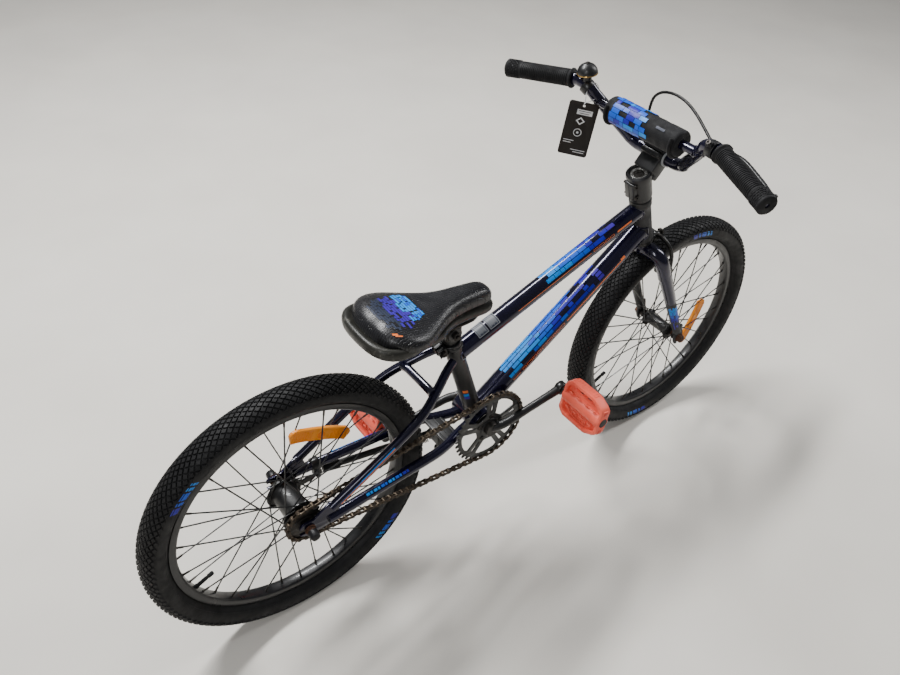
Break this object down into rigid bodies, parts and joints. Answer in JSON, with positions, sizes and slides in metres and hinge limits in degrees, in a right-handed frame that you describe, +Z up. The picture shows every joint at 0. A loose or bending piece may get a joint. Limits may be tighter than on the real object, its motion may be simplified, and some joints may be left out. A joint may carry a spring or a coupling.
{
  "type": "bmx bike",
  "caption": "Child's 20 inch BMX bike with coaster hub, front caliper brake, padded crossbar, kickstand and coral pedals.",
  "frame": {"origin": "centre of the bounding box at ground level, midway between the wheels", "axes": "+X points forward, +Y to the rider's left, +Z up"},
  "size_m": [1.381, 0.583, 0.8148],
  "materials": {
    "gloss_frame_paint": "gloss",
    "satin_black_paint": "satin",
    "matte_grey_paint": "matte",
    "black_steel": "satin",
    "black_alloy": "black anodised",
    "chain_steel": "worn, light rust",
    "tyre_rubber": "matte",
    "soft_rubber": "matte",
    "cable_housing": "satin",
    "black_plastic": "satin",
    "saddle_vinyl": "satin, embossed",
    "pad_fabric": "printed",
    "coral_plastic": "satin",
    "amber_plastic": "gloss",
    "tag_card": "printed"
  },
  "bodies": {
    "frame": {"head_tube": "satin_black_paint", "top_tube": "gloss_frame_paint", "down_tube": "gloss_frame_paint", "seat_tube": "satin_black_paint", "bottom_bracket_shell": "gloss_frame_paint", "chainstay_left": "gloss_frame_paint", "chainstay_right": "gloss_frame_paint", "seatstay_left": "gloss_frame_paint", "seatstay_right": "gloss_frame_paint", "seatstay_bridge": "gloss_frame_paint", "kickstand_mount": "black_steel", "headset_cup_upper": "black_steel", "headset_cup_lower": "black_steel", "seat_collar": "black_steel", "chain": "chain_steel", "coaster_arm": "black_steel", "rear_axle": "black_steel"},
    "seat_post": {"seat_post": "black_steel"},
    "saddle": {"saddle_clamp": "black_steel", "saddle_rails": "black_steel", "saddle_base": "black_plastic", "saddle_cushion": "saddle_vinyl"},
    "steering": {"fork_steerer": "gloss_frame_paint", "fork_blade_left": "matte_grey_paint", "fork_blade_right": "matte_grey_paint", "stem": "satin_black_paint", "stem_faceplate": "satin_black_paint", "handlebar": "gloss_frame_paint", "crossbar_pad": "pad_fabric", "grip_left": "soft_rubber", "grip_right": "soft_rubber", "lever_bracket": "satin_black_paint", "brake_cable": "cable_housing", "front_axle": "black_steel", "bell": "satin_black_paint", "hang_tag": "tag_card"},
    "brake_lever": {"brake_lever": "satin_black_paint"},
    "bell_lever": {"bell_lever": "black_plastic"},
    "brake_arm_left": {"brake_arm_left": "black_steel", "brake_shoe_left": "soft_rubber"},
    "brake_arm_right": {"brake_arm_right": "black_steel", "brake_shoe_right": "soft_rubber"},
    "front_wheel": {"front_tyre": "tyre_rubber", "front_rim": "black_alloy", "front_hub": "black_steel", "front_spokes_left": "black_steel", "front_spokes_right": "black_steel", "front_reflector": "amber_plastic"},
    "rear_wheel": {"rear_tyre": "tyre_rubber", "rear_rim": "black_alloy", "rear_hub": "black_steel", "rear_spokes_left": "black_steel", "rear_spokes_right": "black_steel", "rear_reflector": "amber_plastic"},
    "driver": {"rear_cog": "black_steel"},
    "crank": {"crank": "black_steel", "chainring": "black_steel"},
    "pedal_left": {"pedal_left": "coral_plastic"},
    "pedal_right": {"pedal_right": "coral_plastic"},
    "kickstand": {"kickstand_leg": "black_steel"}
  },
  "joints": [
    {"name": "steering_turn", "type": "hinge", "parent": "frame", "child": "steering", "pos_m": [0.40541, 0, 0.24061], "axis": [-0.3256, 0, 0.9455], "range_deg": [-60, 60]},
    {"name": "front_wheel_spin", "type": "hinge", "parent": "steering", "child": "front_wheel", "pos_m": [0.4385, 0, 0.252], "axis": [0, 1, 0], "continuous": true},
    {"name": "rear_wheel_spin", "type": "hinge", "parent": "frame", "child": "rear_wheel", "pos_m": [-0.4385, 0, 0.252], "axis": [0, 1, 0], "continuous": true},
    {"name": "crank_spin", "type": "hinge", "parent": "frame", "child": "crank", "pos_m": [-0.0655, 0, 0.262], "axis": [0, 1, 0], "continuous": true},
    {"name": "driver_spin", "type": "hinge", "parent": "frame", "child": "driver", "pos_m": [-0.4385, 0, 0.252], "axis": [0, 1, 0], "continuous": true},
    {"name": "pedal_left_spin", "type": "hinge", "parent": "crank", "child": "pedal_left", "pos_m": [-0.21232, 0.1325, 0.22266], "axis": [0, 1, 0], "continuous": true},
    {"name": "pedal_right_spin", "type": "hinge", "parent": "crank", "child": "pedal_right", "pos_m": [0.08132, -0.1325, 0.30134], "axis": [0, 1, 0], "continuous": true},
    {"name": "kickstand_fold", "type": "hinge", "parent": "frame", "child": "kickstand", "pos_m": [-0.1405, 0.024, 0.226], "axis": [0, -0.9578, -0.2873], "range_deg": [0, 96]},
    {"name": "brake_lever_pull", "type": "hinge", "parent": "steering", "child": "brake_lever", "pos_m": [0.2675, -0.15, 0.766], "axis": [-0.2402, 0, -0.9707], "range_deg": [0, 10], "stiffness_Nm_per_rad": 0.6, "springref_deg": -8.59},
    {"name": "brake_arm_left_swing", "type": "hinge", "parent": "steering", "child": "brake_arm_left", "pos_m": [0.34179, 0, 0.50214], "axis": [-0.9455, 0, -0.3256], "range_deg": [0, 1.8]},
    {"name": "brake_arm_right_swing", "type": "hinge", "parent": "steering", "child": "brake_arm_right", "pos_m": [0.35125, 0, 0.5054], "axis": [0.9455, 0, 0.3256], "range_deg": [0, 1.8]},
    {"name": "bell_lever_flick", "type": "hinge", "parent": "steering", "child": "bell_lever", "pos_m": [0.23127, 0.14762, 0.79243], "axis": [0.1201, -0.0601, -0.9909], "range_deg": [0, 20], "stiffness_Nm_per_rad": 0.02, "springref_deg": -8.59},
    {"name": "seat_post_height", "type": "slide", "parent": "frame", "child": "seat_post", "axis": [-0.309, 0, 0.9511], "range_m": [-0.012, 0.07]},
    {"name": "saddle_tilt", "type": "hinge", "parent": "seat_post", "child": "saddle", "pos_m": [-0.14059, 0, 0.49311], "axis": [0, 1, 0], "range_deg": [-8, 8]}
  ],
  "couplings": [
    {"joint": "driver_spin", "follows": "crank_spin", "ratio": 2.25},
    {"joint": "brake_arm_left_swing", "follows": "brake_lever_pull", "ratio": 0.18},
    {"joint": "brake_arm_right_swing", "follows": "brake_lever_pull", "ratio": 0.18}
  ]
}
